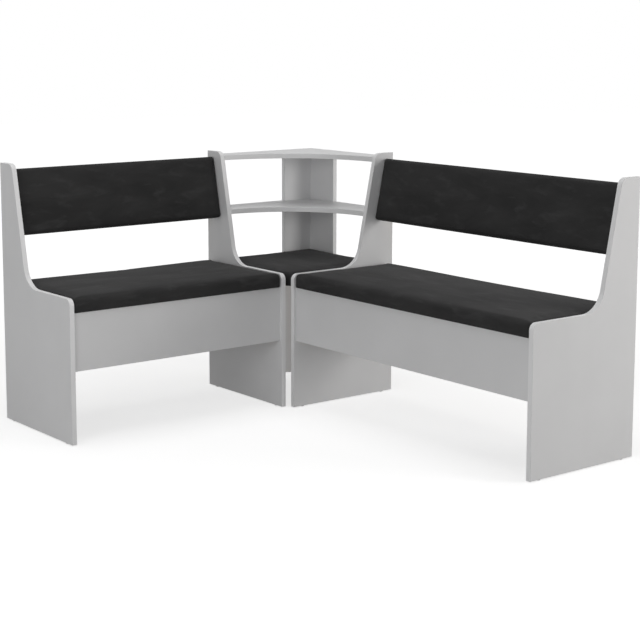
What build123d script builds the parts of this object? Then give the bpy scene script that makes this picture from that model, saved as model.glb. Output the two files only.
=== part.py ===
from build123d import *
import os
from math import atan2, cos, sin
from typing import NamedTuple

# Corner bench: a long and a short storage bench stand against two walls that meet in a corner,
# with a fixed corner seat between them and two curved shelves above it.
# Sizes are in millimetres. +Z is up, the floor is Z = 0, and the origin is the middle of the
# rectangle that the bench covers. The right bench runs along X, the left bench along Y.

# Overall sizes, measured from the wall corner to the outer faces of the end panels
LONG_SIDE = 1498.0
SHORT_SIDE = 1216.0
HEIGHT = 810.0
PANEL_DEPTH = 416.0
CORNER_SPARE = 12.0
BOARD = 16.0

# Outline of a side panel: depths are from the wall, heights from the floor
SEAT_LINE = 439.0
LEAN_FOOT = 150.0
LEAN_TOP = 73.5
NOSE_RADIUS = 20.0
HOLLOW_RADIUS = 75.0
CREST_RADIUS = 25.0
EDGE_EASE = 0.8

# Chest under each straight seat
SEAT_BOTTOM = 396.0
APRON_HEIGHT = 176.0
APRON_RECESS = 10.0
RAIL_SETBACK = 80.0
FLOOR_RISE = 22.0
FLOOR_EASE = 0.5
CLEAT = 20.0
CLEAT_EASE = 2.0
CLEAT_SCREW_INSET = 30.0

# Upholstery: a board, a foam sheet and a cover tucked in under the board
COVER = 1.2
TUCK = 15.0
FOAM_EASE = 0.3
SEAT_EDGE = 46.0
SEAT_CROWN = 4.0
SEAT_NOSE = 14.0
SEAT_HEEL = 10.0
SEAT_REAR_GAP = 22.0
SEAT_FRONT_RECESS = 2.0
SEAT_SIDE_GAP = 2.0
PAD_END = 8.0
PAD_DRAW = 1.5
BACK_DROP = 218.0
BACK_WIDTH = 206.0
BACK_EDGE = 36.0
BACK_CROWN = 4.0
BACK_RIM = 12.0
BACK_RECESS = 34.0
BACK_SIDE_GAP = 0.5

# Corner: upright boards, shelves and seat
POST_WIDTH = 130.0
TOP_SHELF_DROP = 13.0
TOP_SHELF_END = 78.0
SHELF_SPACING = 178.0
LOW_SHELF_END = 117.0
NOTCH_EASE = 0.5
CORNER_SEAT_GAP = 1.0
CORNER_SEAT_RADIUS = 60.0
CORNER_SEAT_END = 16.0
CORNER_CLEAT_INSET = 48.0
POST_CLEAT_INSET = 15.0

# Butt hinges of the seats
HINGE_INSET = 180.0
HINGE_WIDTH = 60.0
LEAF = 2.0
LEAF_REACH = 30.0
LEAF_SCREW = 18.0
KNUCKLE = 8.0
KNUCKLE_EASE = 0.3
PIN = 4.0
PIN_EASE = 0.05
PIN_HEAD = 1.5

# Fittings: dowels, cams with their bolts, screws and floor glides
DOWEL = 8.0
DOWEL_IN_PANEL = 11.0
DOWEL_IN_BOARD = 24.0
CAM = 15.0
CAM_HEIGHT = 12.0
CAM_SETBACK = 24.0
CAM_SLOT = 9.0
BOLT_THREAD = 5.0
BOLT_SHAFT = 6.0
BOLT_NECK = 4.0
BOLT_BORE = 8.0
SCREW = 3.5
SCREW_HEAD = 6.5
HINGE_SCREW = 12.0
CLEAT_SCREW = 30.0
FIT = 0.1
END_FIT = 0.5
GLIDE = 12.0
GLIDE_HEIGHT = 3.0
GLIDE_PEG = 5.0
GLIDE_PEG_LENGTH = 10.0
GLIDE_INSET = 40.0
POST_GLIDE_INSET = 26.0

# Values that follow from the sizes above
wall_x = -LONG_SIDE / 2
wall_y = SHORT_SIDE / 2
corner_side = PANEL_DEPTH + CORNER_SPARE
right_clear = LONG_SIDE - corner_side - 2 * BOARD
left_clear = SHORT_SIDE - corner_side - 2 * BOARD
apron_low = SEAT_BOTTOM - APRON_HEIGHT
apron_face = PANEL_DEPTH - APRON_RECESS
chest_depth = apron_face - RAIL_SETBACK - 2 * BOARD
chest_middle = apron_face - BOARD - chest_depth / 2
lean = atan2(LEAN_FOOT - LEAN_TOP, HEIGHT - SEAT_LINE)
seat_width = PANEL_DEPTH - SEAT_FRONT_RECESS - SEAT_REAR_GAP
seat_middle = SEAT_REAR_GAP + seat_width / 2
seat_rims = [SEAT_NOSE, SEAT_HEEL]
back_rims = [BACK_RIM, BACK_RIM]
lid_underside = SEAT_BOTTOM + COVER
hinge_depth = RAIL_SETBACK - KNUCKLE_EASE - KNUCKLE / 2
hinge_height = lid_underside - KNUCKLE_EASE - KNUCKLE / 2
top_level = HEIGHT - TOP_SHELF_DROP
low_level = top_level - SHELF_SPACING
post_top = top_level - BOARD
up = Vector(0, 0, 1)

# Planes: the wall corner, and each bench with x along it, y towards its wall and z up
corner = Plane(origin=(wall_x, wall_y, 0), x_dir=(1, 0, 0), z_dir=(0, 0, 1))
right_bench = Plane(
    origin=(wall_x + corner_side + BOARD + right_clear / 2, wall_y, 0), x_dir=(1, 0, 0), z_dir=(0, 0, 1)
)
left_bench = Plane(
    origin=(wall_x, wall_y - corner_side - BOARD - left_clear / 2, 0), x_dir=(0, 1, 0), z_dir=(0, 0, 1)
)


class Joint(NamedTuple):
    """A board's end on a panel: z runs into the board, y out of the face that the cams go in."""

    plane: Plane
    cams: list
    dowels: list


class Cleat(NamedTuple):
    """A square batten on a panel: x runs along it and z out of the panel's face."""

    plane: Plane
    length: float


def spot(plane, x, y=0.0, z=0.0):
    """The plane moved to a point given in its own coordinates."""
    return Plane(origin=plane.from_local_coords((x, y, z)), x_dir=plane.x_dir, z_dir=plane.z_dir)


def across(bench, x):
    """Upright plane across a bench: x is the depth from the wall, y is the height."""
    return Plane(origin=bench.from_local_coords((x, 0, 0)), x_dir=-bench.y_dir, z_dir=-bench.x_dir)


def facing(bench, depth, height):
    """Upright plane along a bench: x runs along it, y is up and z points into the room."""
    origin = bench.from_local_coords((0, -depth, height))
    return Plane(origin=origin, x_dir=bench.x_dir, z_dir=-bench.y_dir)


def end_joint(origin, into, cam_side, cams, dowels):
    """A joint plane from its origin, the way into the board and the face that the cams go in."""
    return Joint(Plane(origin=origin, x_dir=cam_side.cross(into), z_dir=into), cams, dowels)


def board_joints(plane, length, width):
    """Joints of a straight board at both ends, with cams in its back face and a dowel between."""
    cams = [(-width / 4, 0), (width / 4, 0)]
    low = plane.from_local_coords((-length / 2, 0, 0))
    high = plane.from_local_coords((length / 2, 0, 0))
    return [
        end_joint(low, plane.x_dir, -plane.z_dir, cams, [(0, 0)]),
        end_joint(high, -plane.x_dir, -plane.z_dir, cams, [(0, 0)]),
    ]


def cam_plane(joint, place):
    """Plane on the cam's face of a board, over the bolt's end, with z into the board."""
    plane = joint.plane
    origin = plane.from_local_coords((place[0], BOARD / 2, CAM_SETBACK))
    return Plane(origin=origin, x_dir=plane.x_dir, z_dir=-plane.y_dir)


def bore(plane, places, diameter, depth):
    """Cut round holes into the piece being made, from a plane and along its normal."""
    with BuildSketch(plane) as holes:
        with Locations(*places):
            Circle(diameter / 2)
    extrude(holes.sketch, amount=depth, mode=Mode.SUBTRACT)


def open_panel(joint):
    """Blind holes in a panel for the dowels and bolts of a joint."""
    bore(joint.plane, joint.dowels, DOWEL + 2 * FIT, -DOWEL_IN_PANEL)
    if joint.cams:
        bore(joint.plane, joint.cams, BOLT_THREAD + 2 * FIT, -DOWEL_IN_PANEL)


def open_board(joint):
    """Holes in a board's end for the dowels, bolts and cams of a joint."""
    bore(joint.plane, joint.dowels, DOWEL + 2 * FIT, DOWEL_IN_BOARD)
    if joint.cams:
        bore(joint.plane, joint.cams, BOLT_BORE, CAM_SETBACK)
    for place in joint.cams:
        bore(cam_plane(joint, place), [(0, 0)], CAM + 2 * FIT, CAM_HEIGHT + END_FIT)


def cleat_screws(cleat):
    """Planes on a cleat's outer face at its screws, with z out of it."""
    reach = cleat.length / 2 - CLEAT_SCREW_INSET
    return [spot(cleat.plane, side * reach, 0, CLEAT) for side in (-1, 1)]


def open_for_cleat(cleat):
    """Screw holes in the panel behind a cleat."""
    for screw in cleat_screws(cleat):
        bore(screw, [(0, 0)], SCREW + 2 * FIT, -(CLEAT_SCREW + END_FIT))


def panel_glides(bench, x):
    """Floor planes under a panel, one at each of its glides."""
    depths = (GLIDE_INSET, PANEL_DEPTH - GLIDE_INSET)
    return [spot(bench, x, -depth) for depth in depths]


def open_for_glide(glide):
    """Hole for a glide's peg in the lower edge of the piece being made."""
    bore(glide.offset(GLIDE_HEIGHT), [(0, 0)], GLIDE_PEG + 2 * FIT, GLIDE_PEG_LENGTH + END_FIT)


def keep(piece, name):
    """Label a finished piece and write it to its own file."""
    piece.part.label = name
    export_step(piece.part, f"parts/{name}.step")


def side_panel(bench, x, joints, cleats):
    """Side panel: straight foot, rounded seat nose, hollow bend and a leaning upper edge."""
    with BuildPart() as panel:
        with BuildSketch(across(bench, x)) as outline:
            with BuildLine():
                Polyline(
                    (0, GLIDE_HEIGHT),
                    (PANEL_DEPTH, GLIDE_HEIGHT),
                    (PANEL_DEPTH, SEAT_LINE),
                    (LEAN_FOOT, SEAT_LINE),
                    (LEAN_TOP, HEIGHT),
                    (0, HEIGHT),
                    close=True,
                )
            make_face()
            fillet(outline.vertices().sort_by_distance((PANEL_DEPTH, SEAT_LINE))[0], NOSE_RADIUS)
            fillet(outline.vertices().sort_by_distance((LEAN_FOOT, SEAT_LINE))[0], HOLLOW_RADIUS)
            fillet(outline.vertices().sort_by_distance((LEAN_TOP, HEIGHT))[0], CREST_RADIUS)
        extrude(amount=BOARD / 2, both=True)
        fillet(panel.faces().sort_by(SortBy.AREA)[-2:].edges(), EDGE_EASE)
        for joint in joints:
            open_panel(joint)
        for cleat in cleats:
            open_for_cleat(cleat)
        for glide in panel_glides(bench, x):
            open_for_glide(glide)
    return panel


def straight_board(plane, length, width, joints):
    """Straight board with eased long edges and holes for its end joints."""
    with BuildPart() as board:
        with BuildSketch(plane):
            Rectangle(length, width)
        extrude(amount=BOARD / 2, both=True)
        fillet(board.edges().filter_by(Axis(plane.origin, plane.x_dir)), EDGE_EASE)
        for joint in joints:
            open_board(joint)
    return board


def pad_form(base, length, width, edge, crown, rims, end):
    """Pad on its base plane: a crowned section with rounded rims, drawn in towards both ends."""
    with BuildPart() as form:
        for x, draw in ((-length / 2, PAD_DRAW), (0, 0), (length / 2, PAD_DRAW)):
            place = base.from_local_coords((x, 0, 0))
            front = -width / 2 + draw
            rear = width / 2
            top = edge - draw
            with BuildSketch(Plane(origin=place, x_dir=base.y_dir, z_dir=base.x_dir)) as section:
                with BuildLine():
                    Polyline((rear, top), (rear, 0), (front, 0), (front, top))
                    ThreePointArc((front, top), ((front + rear) / 2, top + crown), (rear, top))
                make_face()
                fillet(section.vertices().sort_by_distance((front, top))[0], rims[0])
                fillet(section.vertices().sort_by_distance((rear, top))[0], rims[1])
        loft()
        ends = form.faces().filter_by(Axis(base.origin, base.x_dir)).edges()
        fillet(ends.filter_by(lambda e: base.to_local_coords(e.center()).Z > 0.1), end)
    return form


def pad_cover(base, length, width, edge, crown, rims, joints):
    """Cover of a pad: a thin skin over the top and sides, tucked in under the board."""
    inner_rims = [rim - COVER for rim in rims]
    outer = pad_form(base, length, width, edge, crown, rims, PAD_END)
    inner = pad_form(
        base.offset(COVER),
        length - 2 * COVER,
        width - 2 * COVER,
        edge - 2 * COVER,
        crown,
        inner_rims,
        PAD_END - COVER,
    )
    with BuildPart() as cover:
        add(outer.part)
        add(inner.part, mode=Mode.SUBTRACT)
        with BuildSketch(base):
            RectangleRounded(length - 2 * TUCK, width - 2 * TUCK, PAD_END)
        extrude(amount=2 * COVER, mode=Mode.SUBTRACT)
        for joint in joints:
            bore(joint.plane, joint.dowels, DOWEL + 2 * FIT, DOWEL_IN_BOARD)
            bore(joint.plane, joint.cams, BOLT_BORE, CAM_SETBACK)
    return cover


def pad_foam(base, length, width, edge, crown, rims):
    """Foam of a pad: what the cover leaves free above the board."""
    inset = COVER + FOAM_EASE
    form = pad_form(
        base.offset(inset),
        length - 2 * inset,
        width - 2 * inset,
        edge - 2 * inset,
        crown,
        [rim - inset for rim in rims],
        PAD_END - inset,
    )
    with BuildPart() as foam:
        add(form.part)
        split(bisect_by=base.offset(COVER + BOARD), keep=Keep.TOP)
    return foam


def pad_board(base, length, width, joints, screws):
    """Board of a pad, rounded at its corners like the cover around it."""
    inset = COVER + FOAM_EASE
    with BuildPart() as board:
        with BuildSketch(spot(base, 0, PAD_DRAW / 2, COVER)):
            RectangleRounded(length - 2 * inset, width - 2 * inset - PAD_DRAW, PAD_END)
        extrude(amount=BOARD)
        for joint in joints:
            open_board(joint)
        for screw in screws:
            bore(screw, [(0, 0)], SCREW + 2 * FIT, -(HINGE_SCREW + END_FIT))
    return board


def corner_plan(inset, height):
    """Outline of the corner seat at a height: square, with its front corner rounded off."""
    low = BOARD + CORNER_SEAT_GAP + inset
    high = corner_side - CORNER_SEAT_GAP - inset
    middle = (low + high) / 2
    with BuildSketch(corner.offset(height)) as plan:
        with Locations((middle, -middle)):
            Rectangle(high - low, high - low)
        others = plan.vertices().sort_by_distance((high, -high))[1:]
        fillet(others, CORNER_SEAT_END - inset)
        fillet(plan.vertices().sort_by_distance((high, -high))[0], CORNER_SEAT_RADIUS - inset)
    return plan.sketch


def corner_form(inset, bottom, edge, rim):
    """Crowned block on the corner seat's outline, its top cut by a very large ball."""
    ball = (corner_side - BOARD) ** 2 / (4 * SEAT_CROWN)
    middle = (BOARD + corner_side) / 2
    crest = bottom + edge + SEAT_CROWN
    with BuildPart() as form:
        extrude(corner_plan(inset, bottom), amount=edge + SEAT_CROWN)
        with Locations((wall_x + middle, wall_y - middle, crest - ball)):
            Sphere(ball, mode=Mode.INTERSECT)
        fillet(form.faces().filter_by(GeomType.SPHERE).edges(), rim)
    return form


def corner_shelf(height, end, joints):
    """Corner shelf: straight along both walls, with a hollow quarter-circle front."""
    with BuildPart() as shelf:
        with BuildSketch(corner.offset(height - BOARD)):
            with BuildLine():
                Polyline(
                    (corner_side, -end),
                    (corner_side, 0),
                    (0, 0),
                    (0, -corner_side),
                    (end, -corner_side),
                )
                CenterArc((corner_side, -corner_side), corner_side - end, 90, 90)
            make_face()
        extrude(amount=BOARD)
        front = shelf.faces().filter_by(GeomType.CYLINDER).edges().filter_by(GeomType.CIRCLE)
        fillet(front, EDGE_EASE)
        for joint in joints:
            open_board(joint)
    return shelf


def post_board(plane, height, glides, joints_on_it, joints_of_it):
    """Upright corner board on its middle plane, x across it and y up."""
    with BuildPart() as post:
        with BuildSketch(plane):
            Rectangle(POST_WIDTH, height)
        extrude(amount=BOARD / 2, both=True)
        fillet(post.edges().filter_by(Axis(plane.origin, plane.y_dir)), EDGE_EASE)
        for joint in joints_on_it:
            open_panel(joint)
        for joint in joints_of_it:
            open_board(joint)
        for glide in glides:
            open_for_glide(glide)
    return post


def cleat_group(cleats):
    """Square battens, each with two countersunk screw holes."""
    with BuildPart() as group:
        for cleat in cleats:
            with BuildSketch(cleat.plane):
                Rectangle(cleat.length, CLEAT)
            extrude(amount=CLEAT)
            with Locations(*cleat_screws(cleat)):
                CounterSinkHole(SCREW / 2 + FIT, SCREW_HEAD / 2 + FIT, CLEAT, 90)
    return group


def hinge_places(clear):
    """Where the two hinges sit along a bench, from its middle."""
    return [HINGE_INSET - clear / 2, clear / 2 - HINGE_INSET]


def hinge_screws(bench, clear, depth, height, outward):
    """Planes on the hinge leaves at their screws, with z out of the leaf."""
    shifts = (-HINGE_WIDTH / 3, HINGE_WIDTH / 3)
    spots = [(x + shift, -depth, height) for x in hinge_places(clear) for shift in shifts]
    return [
        Plane(origin=bench.from_local_coords(place), x_dir=bench.x_dir, z_dir=outward)
        for place in spots
    ]


def rail_screws(bench, clear):
    """Screws of the fixed leaves, on the rear face of the rear rail."""
    height = hinge_height - LEAF_SCREW
    return hinge_screws(bench, clear, RAIL_SETBACK - LEAF, height, bench.y_dir)


def lid_screws(bench, clear):
    """Screws of the moving leaves, under the seat's board."""
    depth = hinge_depth - LEAF_SCREW
    return hinge_screws(bench, clear, depth, lid_underside - LEAF, -up)


def hinge_leaves(bench, clear, near, far, low, high, thirds, screws):
    """Hinge leaves: a flat plate, given by depths and heights, with its thirds of the knuckle."""
    third = HINGE_WIDTH / 3
    axis_spot = (hinge_depth, hinge_height)
    with BuildPart() as leaves:
        for x in hinge_places(clear):
            with BuildSketch(across(bench, x)):
                with Locations(axis_spot):
                    Circle(KNUCKLE / 2)
                with Locations(((near + far) / 2, (low + high) / 2)):
                    Rectangle(far - near, high - low)
                with Locations(axis_spot):
                    Circle(PIN / 2 + PIN_EASE, mode=Mode.SUBTRACT)
            extrude(amount=HINGE_WIDTH / 2, both=True)
            for share in {-1, 0, 1} - thirds:
                with BuildSketch(across(bench, x + share * third)):
                    with Locations(axis_spot):
                        Circle(KNUCKLE / 2 + KNUCKLE_EASE)
                extrude(amount=(third + KNUCKLE_EASE) / 2, both=True, mode=Mode.SUBTRACT)
        with Locations(*screws):
            CounterSinkHole(SCREW / 2 + FIT, SCREW_HEAD / 2 + FIT, LEAF, 90)
    return leaves


def hinge_pins(bench, clear):
    """Hinge pins, headed at both ends."""
    axis_spot = (hinge_depth, hinge_height)
    with BuildPart() as pins:
        for x in hinge_places(clear):
            with BuildSketch(across(bench, x)):
                with Locations(axis_spot):
                    Circle(PIN / 2)
            extrude(amount=HINGE_WIDTH / 2, both=True)
            for end in (-1, 1):
                with BuildSketch(across(bench, x + end * (HINGE_WIDTH + PIN_HEAD) / 2)):
                    with Locations(axis_spot):
                        Circle(KNUCKLE / 2 - PIN_HEAD / 2)
                extrude(amount=PIN_HEAD / 2, both=True)
    return pins


def screw_group(places, length):
    """Countersunk wood screws at planes that look out of the material."""
    with BuildPart() as screw:
        with BuildSketch(Plane.XZ):
            with BuildLine():
                Polyline(
                    (0, 0),
                    (SCREW_HEAD / 2, 0),
                    (SCREW / 2, -(SCREW_HEAD - SCREW) / 2),
                    (SCREW / 2, SCREW - length),
                    (0, -length),
                    close=True,
                )
            make_face()
        revolve(axis=Axis.Z)
    with BuildPart() as group:
        with Locations(*places):
            add(screw.part)
    return group


def dowel_group(joints):
    """Wooden dowels of all joints, with chamfered ends."""
    length = DOWEL_IN_PANEL + DOWEL_IN_BOARD - 2 * END_FIT
    start = END_FIT - DOWEL_IN_PANEL
    with BuildPart() as group:
        with Locations(*[spot(joint.plane, *place, start) for joint in joints for place in joint.dowels]):
            Cylinder(DOWEL / 2, length, align=(Align.CENTER, Align.CENTER, Align.MIN))
        chamfer(group.edges().filter_by(GeomType.CIRCLE), END_FIT)
    return group


def bolt_group(joints):
    """Cam bolts of all joints: a thread in the panel, a shaft, and a necked head in the cam."""
    foot = END_FIT - DOWEL_IN_PANEL
    tip = CAM_SETBACK - END_FIT
    head = tip - BOLT_NECK / 2
    neck = head - BOLT_NECK
    with BuildPart() as bolt:
        with BuildSketch(Plane.XZ):
            with BuildLine():
                Polyline(
                    (0, foot),
                    (BOLT_THREAD / 2, foot),
                    (BOLT_THREAD / 2, 0),
                    (BOLT_SHAFT / 2, 0),
                    (BOLT_SHAFT / 2, neck),
                    (BOLT_NECK / 2, neck),
                    (BOLT_NECK / 2, head),
                    (BOLT_SHAFT / 2, head),
                    (BOLT_SHAFT / 2, tip),
                    (0, tip),
                    close=True,
                )
            make_face()
        revolve(axis=Axis.Z)
    with BuildPart() as group:
        with Locations(*[spot(joint.plane, *place) for joint in joints for place in joint.cams]):
            add(bolt.part)
    return group


def cam_group(joints):
    """Cams of all joints: a drum with a channel for the bolt's head and a cross slot on its face."""
    slot_width = BOLT_NECK / 2
    with BuildPart() as cam:
        Cylinder(CAM / 2, CAM_HEIGHT, align=(Align.CENTER, Align.CENTER, Align.MIN))
        bolt_way = Plane(origin=(0, -CAM, BOARD / 2), x_dir=(1, 0, 0), z_dir=(0, 1, 0))
        bore(bolt_way, [(0, 0)], BOLT_SHAFT + END_FIT, CAM + END_FIT)
        with BuildSketch():
            Rectangle(CAM_SLOT, slot_width)
            Rectangle(slot_width, CAM_SLOT)
        extrude(amount=slot_width, mode=Mode.SUBTRACT)
    with BuildPart() as group:
        with Locations(*[cam_plane(joint, place) for joint in joints for place in joint.cams]):
            add(cam.part)
    return group


def glide_group(places):
    """Floor glides: a round foot with a peg that is pushed into the board above it."""
    with BuildPart() as glide:
        Cylinder(GLIDE / 2, GLIDE_HEIGHT, align=(Align.CENTER, Align.CENTER, Align.MIN))
        fillet(glide.faces().sort_by(Axis.Z)[0].edges(), GLIDE_HEIGHT / 3)
        with Locations((0, 0, GLIDE_HEIGHT)):
            Cylinder(GLIDE_PEG / 2, GLIDE_PEG_LENGTH, align=(Align.CENTER, Align.CENTER, Align.MIN))
    with BuildPart() as group:
        with Locations(*places):
            add(glide.part)
    return group


def back_base(bench):
    """Base plane of a backrest: on the back of its board, y up the slope, z into the room."""
    middle = HEIGHT - BACK_DROP + BACK_WIDTH / 2 * cos(lean)
    slope = (LEAN_FOOT - LEAN_TOP) / (HEIGHT - SEAT_LINE)
    depth = LEAN_FOOT - (middle - SEAT_LINE) * slope - BACK_RECESS
    facing_room = up * sin(lean) - bench.y_dir * cos(lean)
    front = Plane(
        origin=bench.from_local_coords((0, -depth, middle)), x_dir=bench.x_dir, z_dir=facing_room
    )
    return front.offset(-BACK_EDGE)


def chest_cleats(bench, clear):
    """Cleats that carry a chest's floor, on the two side panels."""
    height = apron_low + FLOOR_RISE - CLEAT / 2
    length = chest_depth - 2 * CLEAT_EASE
    return [
        Cleat(
            Plane(
                origin=bench.from_local_coords((side * clear / 2, -chest_middle, height)),
                x_dir=bench.y_dir,
                z_dir=bench.x_dir * -side,
            ),
            length,
        )
        for side in (-1, 1)
    ]


os.makedirs("parts", exist_ok=True)

# Corner joints: shelves on the inner panels, upright boards under the top shelf and on each other
shelf_joints = {}
for shelf, level, end in (("top", top_level, TOP_SHELF_END), ("low", low_level, LOW_SHELF_END)):
    middle = level - BOARD / 2
    cams = [(end / 5, 0)]
    dowels = [(-end / 5, 0)]
    on_right = corner.from_local_coords((corner_side, -end / 2, middle))
    on_left = corner.from_local_coords((end / 2, -corner_side, middle))
    shelf_joints[shelf] = [
        end_joint(on_right, Vector(-1, 0, 0), -up, cams, dowels),
        end_joint(on_left, Vector(0, 1, 0), -up, cams, dowels),
    ]
post_height = post_top - GLIDE_HEIGHT
post_middle = GLIDE_HEIGHT + post_height / 2
quarter_dowels = [(-POST_WIDTH / 4, 0), (POST_WIDTH / 4, 0)]
left_post_top = end_joint(
    corner.from_local_coords((BOARD / 2, -POST_WIDTH / 2, post_top)),
    -up,
    Vector(1, 0, 0),
    [],
    quarter_dowels,
)
right_post_top = end_joint(
    corner.from_local_coords((BOARD + POST_WIDTH / 2, -BOARD / 2, post_top)),
    -up,
    Vector(0, 1, 0),
    [],
    quarter_dowels,
)
post_joint = end_joint(
    corner.from_local_coords((BOARD, -BOARD / 2, post_middle)),
    Vector(1, 0, 0),
    Vector(0, 1, 0),
    [],
    [(-post_height / 3, 0), (0, 0), (post_height / 3, 0)],
)

# Cleats under the corner seat: on both inner panels and on the right upright board
cleat_height = SEAT_BOTTOM - CLEAT / 2
right_corner_cleat = Cleat(
    Plane(
        origin=corner.from_local_coords((corner_side, -PANEL_DEPTH / 2, cleat_height)),
        x_dir=(0, 1, 0),
        z_dir=(-1, 0, 0),
    ),
    PANEL_DEPTH - 2 * CORNER_CLEAT_INSET,
)
left_corner_cleat = Cleat(
    Plane(
        origin=corner.from_local_coords((PANEL_DEPTH / 2, -corner_side, cleat_height)),
        x_dir=(1, 0, 0),
        z_dir=(0, 1, 0),
    ),
    PANEL_DEPTH - 2 * CORNER_CLEAT_INSET,
)
post_cleat = Cleat(
    Plane(
        origin=corner.from_local_coords((BOARD + POST_WIDTH / 2, -BOARD, cleat_height)),
        x_dir=(1, 0, 0),
        z_dir=(0, -1, 0),
    ),
    POST_WIDTH - 2 * POST_CLEAT_INSET,
)
corner_cleats = [right_corner_cleat, left_corner_cleat, post_cleat]

# Straight benches: side panels, chest boards, backrest and hinged seat
all_joints = [*shelf_joints["top"], *shelf_joints["low"], left_post_top, right_post_top, post_joint]
all_cleats = []
all_glides = []
frame_screws = []
benches = (
    ("right", right_bench, right_clear, -1, right_corner_cleat, 0),
    ("left", left_bench, left_clear, 1, left_corner_cleat, 1),
)
for side, bench, clear, inner_end, corner_cleat, shelf_side in benches:
    apron_plane = facing(bench, apron_face - BOARD / 2, SEAT_BOTTOM - APRON_HEIGHT / 2)
    rail_plane = facing(bench, RAIL_SETBACK + BOARD / 2, SEAT_BOTTOM - APRON_HEIGHT / 2)
    back = back_base(bench)
    apron_joints = board_joints(apron_plane, clear, APRON_HEIGHT)
    rail_joints = board_joints(rail_plane, clear, APRON_HEIGHT)
    back_joints = board_joints(back.offset(COVER + BOARD / 2), clear, BACK_WIDTH)
    cleats = chest_cleats(bench, clear)
    all_joints += apron_joints + rail_joints + back_joints
    all_cleats += cleats

    for end in (-1, 1):
        index = (end + 1) // 2
        place = end * (clear + BOARD) / 2
        joints = [apron_joints[index], rail_joints[index], back_joints[index]]
        panel_cleats = [cleats[index]]
        name = f"{side}_end_panel"
        if end == inner_end:
            joints += [shelf_joints["top"][shelf_side], shelf_joints["low"][shelf_side]]
            panel_cleats.append(corner_cleat)
            name = f"{side}_inner_panel"
        keep(side_panel(bench, place, joints, panel_cleats), name)
        all_glides += panel_glides(bench, place)

    keep(straight_board(apron_plane, clear, APRON_HEIGHT, apron_joints), f"{side}_apron")
    with BuildPart() as rail:
        add(straight_board(rail_plane, clear, APRON_HEIGHT, rail_joints).part)
        for screw in rail_screws(bench, clear):
            bore(screw, [(0, 0)], SCREW + 2 * FIT, -(HINGE_SCREW + END_FIT))
    keep(rail, f"{side}_rear_rail")
    with BuildPart() as chest_floor:
        with BuildSketch(spot(bench, 0, -chest_middle, apron_low + FLOOR_RISE)):
            Rectangle(clear - 2 * FLOOR_EASE, chest_depth - 2 * FLOOR_EASE)
        extrude(amount=BOARD)
    keep(chest_floor, f"{side}_chest_floor")

    back_length = clear - 2 * BACK_SIDE_GAP
    back_sizes = (back, back_length, BACK_WIDTH, BACK_EDGE, BACK_CROWN, back_rims)
    keep(pad_cover(*back_sizes, back_joints), f"{side}_backrest_cover")
    keep(pad_foam(*back_sizes), f"{side}_backrest_foam")
    keep(pad_board(back, back_length, BACK_WIDTH, back_joints, []), f"{side}_backrest_board")

    seat = spot(bench, 0, -seat_middle, SEAT_BOTTOM)
    seat_length = clear - 2 * SEAT_SIDE_GAP
    seat_sizes = (seat, seat_length, seat_width, SEAT_EDGE, SEAT_CROWN, seat_rims)
    keep(pad_cover(*seat_sizes, []), f"{side}_seat_cover")
    keep(pad_foam(*seat_sizes), f"{side}_seat_foam")
    leaf_screws = lid_screws(bench, clear)
    keep(pad_board(seat, seat_length, seat_width, [], leaf_screws), f"{side}_seat_board")

    fixed_low = hinge_height - LEAF_REACH
    fixed_sizes = (RAIL_SETBACK - LEAF, RAIL_SETBACK, fixed_low, hinge_height)
    fixed = hinge_leaves(bench, clear, *fixed_sizes, {-1, 1}, rail_screws(bench, clear))
    keep(fixed, f"{side}_hinge_fixed_leaves")
    moving_sizes = (hinge_depth - LEAF_REACH, hinge_depth, lid_underside - LEAF, lid_underside)
    moving = hinge_leaves(bench, clear, *moving_sizes, {0}, leaf_screws)
    keep(moving, f"{side}_hinge_moving_leaves")
    keep(hinge_pins(bench, clear), f"{side}_hinge_pins")
    keep(screw_group(leaf_screws, HINGE_SCREW), f"{side}_lid_screws")
    frame_screws += rail_screws(bench, clear)

# Corner: upright boards, shelves and fixed seat
left_post_plane = Plane(
    origin=corner.from_local_coords((BOARD / 2, -POST_WIDTH / 2, post_middle)),
    x_dir=(0, 1, 0),
    z_dir=(1, 0, 0),
)
right_post_plane = Plane(
    origin=corner.from_local_coords((BOARD + POST_WIDTH / 2, -BOARD / 2, post_middle)),
    x_dir=(1, 0, 0),
    z_dir=(0, -1, 0),
)
glide_shifts = (POST_GLIDE_INSET, POST_WIDTH - POST_GLIDE_INSET)
left_post_glides = [spot(corner, BOARD / 2, -shift) for shift in glide_shifts]
right_post_glides = [spot(corner, BOARD + shift, -BOARD / 2) for shift in glide_shifts]
all_glides += left_post_glides + right_post_glides
left_post = post_board(left_post_plane, post_height, left_post_glides, [post_joint], [left_post_top])
keep(left_post, "left_corner_upright")
right_post_joints = [right_post_top, post_joint]
with BuildPart() as right_post:
    add(post_board(right_post_plane, post_height, right_post_glides, [], right_post_joints).part)
    open_for_cleat(post_cleat)
keep(right_post, "right_corner_upright")

with BuildPart() as top_shelf:
    add(corner_shelf(top_level, TOP_SHELF_END, shelf_joints["top"]).part)
    open_panel(left_post_top)
    open_panel(right_post_top)
keep(top_shelf, "top_shelf")
with BuildPart() as low_shelf:
    add(corner_shelf(low_level, LOW_SHELF_END, shelf_joints["low"]).part)
    with BuildSketch(corner.offset(low_level)):
        notch = BOARD + NOTCH_EASE
        Rectangle(notch, POST_WIDTH + NOTCH_EASE, align=(Align.MIN, Align.MAX))
        Rectangle(BOARD + POST_WIDTH + NOTCH_EASE, notch, align=(Align.MIN, Align.MAX))
    extrude(amount=-BOARD, mode=Mode.SUBTRACT)
keep(low_shelf, "low_shelf")

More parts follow.
